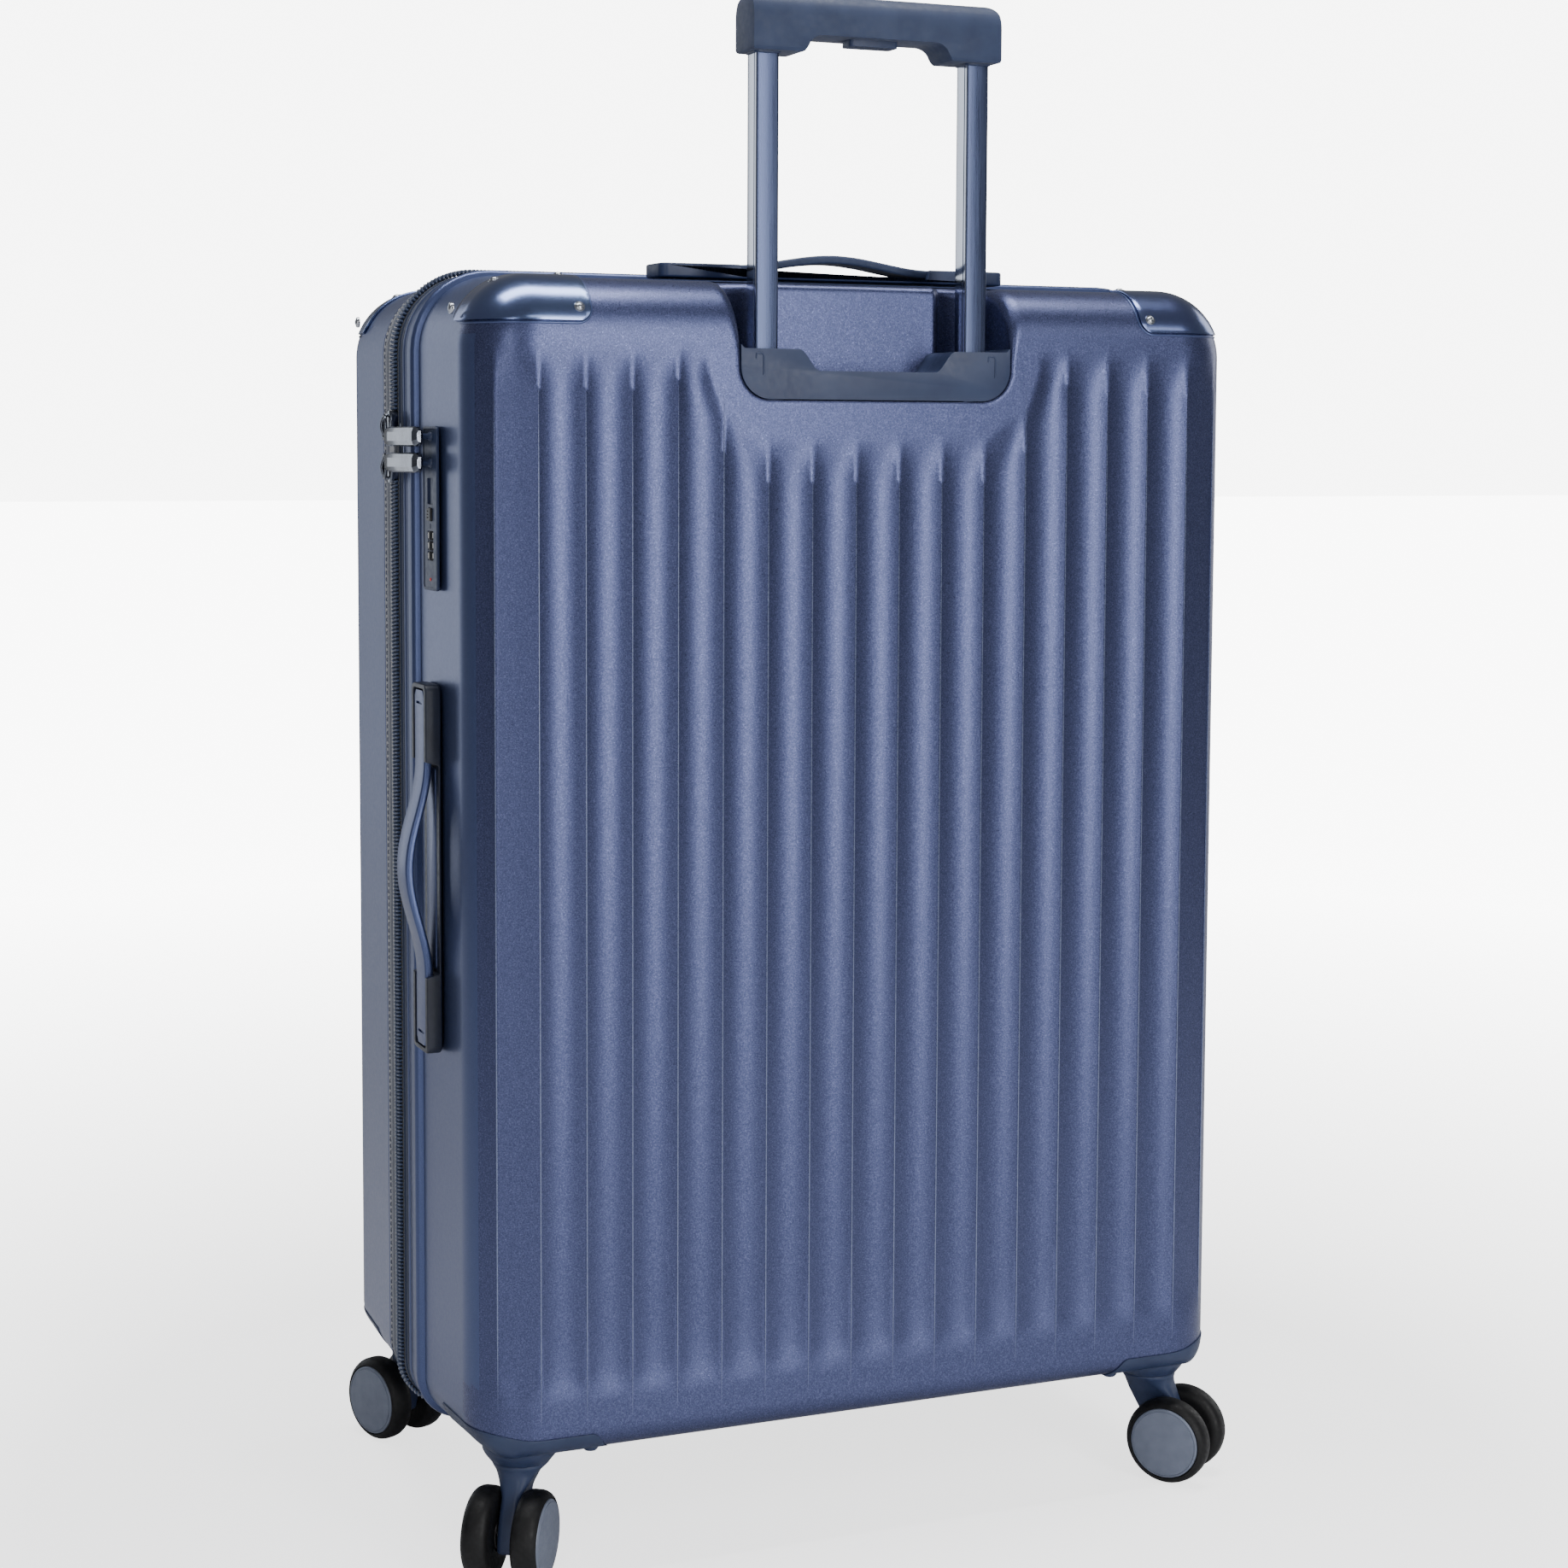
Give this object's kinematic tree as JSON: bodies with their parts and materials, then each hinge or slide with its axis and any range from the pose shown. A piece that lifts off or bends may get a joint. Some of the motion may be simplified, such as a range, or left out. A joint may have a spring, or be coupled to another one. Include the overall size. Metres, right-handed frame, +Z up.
{
  "type": "hard shell suitcase on wheels",
  "caption": "Tall hard-shell spinner suitcase with fluted faces, telescopic trolley, zip, combination lock and carry handles.",
  "frame": {"origin": "on the ground, at the middle of the suitcase's box", "axes": "+Z up, +Y out of the back face that carries the trolley, +X towards the lock and side handle"},
  "size_m": [0.5408, 0.3358, 0.9385],
  "materials": {
    "shell": "satin metallic with fine grain",
    "corner_metal": "smooth anodised, low gloss",
    "navy_plastic": "matte moulded plastic",
    "handle_skin": "matte soft-touch",
    "trolley_tube": "satin anodised with a polished edge",
    "steel": "plain",
    "gunmetal": "dark polished",
    "webbing": "woven tape",
    "lining": "plain woven lining",
    "dial": "black with light digits",
    "tyre": "matte rubber",
    "wheel_cap": "satin"
  },
  "bodies": {
    "case": {"back_shell": "shell", "corner_guard_back_lock": "corner_metal", "corner_guard_back_hinge": "corner_metal", "zip_tape_back": "webbing", "rim_trim_band": "navy_plastic", "hinge_fabric": "webbing", "trolley_cup": "navy_plastic", "trolley_base_bracket": "navy_plastic", "outer_tube_lock": "trolley_tube", "outer_tube_hinge": "trolley_tube", "lock_plate": "navy_plastic", "top_handle_base": "navy_plastic", "side_handle_base": "navy_plastic", "back_lining": "lining", "packing_straps": "webbing", "strap_clip": "navy_plastic", "caster_housing_back_lock": "navy_plastic", "caster_housing_back_hinge": "navy_plastic"},
    "lid": {"front_shell": "shell", "corner_guard_front_lock": "corner_metal", "corner_guard_front_hinge": "corner_metal", "zip_tape_front": "webbing", "front_lining": "lining", "divider_panel": "lining", "caster_housing_front_lock": "navy_plastic", "caster_housing_front_hinge": "navy_plastic"},
    "trolley_mid": {"mid_tube_lock": "trolley_tube", "mid_tube_hinge": "trolley_tube"},
    "trolley_handle": {"inner_tube_lock": "trolley_tube", "inner_tube_hinge": "trolley_tube", "trolley_grip": "navy_plastic"},
    "grip_button": {"grip_button": "navy_plastic"},
    "push_rods": {"push_rod_lock": "steel", "push_rod_hinge": "steel"},
    "lock_dial_1": {"lock_dial_1": "dial"},
    "lock_dial_2": {"lock_dial_2": "dial"},
    "lock_dial_3": {"lock_dial_3": "dial"},
    "lock_button": {"lock_button": "navy_plastic"},
    "zip_slider_upper": {"zip_slider_upper": "gunmetal"},
    "zip_slider_lower": {"zip_slider_lower": "gunmetal"},
    "zip_pull_upper": {"zip_pull_upper": "gunmetal"},
    "zip_pull_lower": {"zip_pull_lower": "gunmetal"},
    "top_handle_strap": {"top_handle_strap": "handle_skin"},
    "side_handle_strap": {"side_handle_strap": "handle_skin"},
    "caster_back_lock": {"caster_fork_back_lock": "navy_plastic", "caster_axle_back_lock": "steel"},
    "wheel_a_back_lock": {"wheel_a_back_lock": "tyre"},
    "wheel_b_back_lock": {"wheel_b_back_lock": "tyre"},
    "caster_back_hinge": {"caster_fork_back_hinge": "navy_plastic", "caster_axle_back_hinge": "steel"},
    "wheel_a_back_hinge": {"wheel_a_back_hinge": "tyre"},
    "wheel_b_back_hinge": {"wheel_b_back_hinge": "tyre"},
    "caster_front_lock": {"caster_fork_front_lock": "navy_plastic", "caster_axle_front_lock": "steel"},
    "wheel_a_front_lock": {"wheel_a_front_lock": "tyre"},
    "wheel_b_front_lock": {"wheel_b_front_lock": "tyre"},
    "caster_front_hinge": {"caster_fork_front_hinge": "navy_plastic", "caster_axle_front_hinge": "steel"},
    "wheel_a_front_hinge": {"wheel_a_front_hinge": "tyre"},
    "wheel_b_front_hinge": {"wheel_b_front_hinge": "tyre"}
  },
  "joints": [
    {"name": "lid_hinge", "type": "hinge", "parent": "case", "child": "lid", "pos_m": [-0.262, 0.005, 0.423], "axis": [0, 0, -1], "range_deg": [0, 180]},
    {"name": "trolley_second_stage", "type": "slide", "parent": "case", "child": "trolley_mid", "axis": [0, 0, 1], "range_m": [0, 0.15]},
    {"name": "trolley_first_stage", "type": "slide", "parent": "trolley_mid", "child": "trolley_handle", "axis": [0, 0, 1], "range_m": [-0.173, 0]},
    {"name": "grip_button_press", "type": "slide", "parent": "trolley_handle", "child": "grip_button", "axis": [0, 0, 1], "range_m": [0, 0.0035], "stiffness_N_per_m": 400, "springref_m": -0.005},
    {"name": "push_rod_slide", "type": "slide", "parent": "trolley_handle", "child": "push_rods", "axis": [0, 0, -1], "range_m": [0, 0.0035]},
    {"name": "lock_dial_1_turn", "type": "hinge", "parent": "case", "child": "lock_dial_1", "pos_m": [0.24977, 0.073, 0.6065], "axis": [0, 0, 1], "continuous": true},
    {"name": "lock_dial_2_turn", "type": "hinge", "parent": "case", "child": "lock_dial_2", "pos_m": [0.24977, 0.073, 0.6125], "axis": [0, 0, 1], "continuous": true},
    {"name": "lock_dial_3_turn", "type": "hinge", "parent": "case", "child": "lock_dial_3", "pos_m": [0.24977, 0.073, 0.6185], "axis": [0, 0, 1], "continuous": true},
    {"name": "lock_button_press", "type": "slide", "parent": "case", "child": "lock_button", "axis": [-1, 0, 0], "range_m": [0, 0.0009], "stiffness_N_per_m": 500, "springref_m": -0.002},
    {"name": "zip_slide_upper", "type": "slide", "parent": "case", "child": "zip_slider_upper", "axis": [0, 0, 1], "range_m": [-0.003, 0.034]},
    {"name": "zip_slide_lower", "type": "slide", "parent": "case", "child": "zip_slider_lower", "axis": [0, 0, 1], "range_m": [-0.11, 0.003]},
    {"name": "zip_pull_swing_upper", "type": "hinge", "parent": "zip_slider_upper", "child": "zip_pull_upper", "pos_m": [0.266, 0.005, 0.677], "axis": [0, 0, -1], "range_deg": [0, 160]},
    {"name": "zip_pull_swing_lower", "type": "hinge", "parent": "zip_slider_lower", "child": "zip_pull_lower", "pos_m": [0.266, 0.005, 0.6615], "axis": [0, 0, -1], "range_deg": [0, 160]},
    {"name": "top_handle_lift", "type": "slide", "parent": "case", "child": "top_handle_strap", "axis": [0, 0, 1], "range_m": [0, 0.005]},
    {"name": "side_handle_lift", "type": "slide", "parent": "case", "child": "side_handle_strap", "axis": [1, 0, 0], "range_m": [0, 0.005]},
    {"name": "swivel_back_lock", "type": "hinge", "parent": "case", "child": "caster_back_lock", "pos_m": [0.216, 0.117, 0.0275], "axis": [0, 0, 1], "continuous": true},
    {"name": "spin_a_back_lock", "type": "hinge", "parent": "caster_back_lock", "child": "wheel_a_back_lock", "pos_m": [0.22776, 0.13318, 0.0275], "axis": [-0.809, 0.5878, 0], "continuous": true},
    {"name": "spin_b_back_lock", "type": "hinge", "parent": "caster_back_lock", "child": "wheel_b_back_lock", "pos_m": [0.22776, 0.13318, 0.0275], "axis": [-0.809, 0.5878, 0], "continuous": true},
    {"name": "swivel_back_hinge", "type": "hinge", "parent": "case", "child": "caster_back_hinge", "pos_m": [-0.216, 0.117, 0.0275], "axis": [0, 0, 1], "continuous": true},
    {"name": "spin_a_back_hinge", "type": "hinge", "parent": "caster_back_hinge", "child": "wheel_a_back_hinge", "pos_m": [-0.22859, 0.13254, 0.0275], "axis": [-0.7771, -0.6293, 0], "continuous": true},
    {"name": "spin_b_back_hinge", "type": "hinge", "parent": "caster_back_hinge", "child": "wheel_b_back_hinge", "pos_m": [-0.22859, 0.13254, 0.0275], "axis": [-0.7771, -0.6293, 0], "continuous": true},
    {"name": "swivel_front_lock", "type": "hinge", "parent": "lid", "child": "caster_front_lock", "pos_m": [0.216, -0.117, 0.0275], "axis": [0, 0, 1], "continuous": true},
    {"name": "spin_a_front_lock", "type": "hinge", "parent": "caster_front_lock", "child": "wheel_a_front_lock", "pos_m": [0.22381, -0.13541, 0.0275], "axis": [0.9205, 0.3907, 0], "continuous": true},
    {"name": "spin_b_front_lock", "type": "hinge", "parent": "caster_front_lock", "child": "wheel_b_front_lock", "pos_m": [0.22381, -0.13541, 0.0275], "axis": [0.9205, 0.3907, 0], "continuous": true},
    {"name": "swivel_front_hinge", "type": "hinge", "parent": "lid", "child": "caster_front_hinge", "pos_m": [-0.216, -0.117, 0.0275], "axis": [0, 0, 1], "continuous": true},
    {"name": "spin_a_front_hinge", "type": "hinge", "parent": "caster_front_hinge", "child": "wheel_a_front_hinge", "pos_m": [-0.23132, -0.10414, 0.0275], "axis": [-0.6428, -0.766, 0], "continuous": true},
    {"name": "spin_b_front_hinge", "type": "hinge", "parent": "caster_front_hinge", "child": "wheel_b_front_hinge", "pos_m": [-0.23132, -0.10414, 0.0275], "axis": [-0.6428, -0.766, 0], "continuous": true}
  ],
  "couplings": [
    {"joint": "push_rod_slide", "follows": "grip_button_press", "ratio": 1}
  ]
}
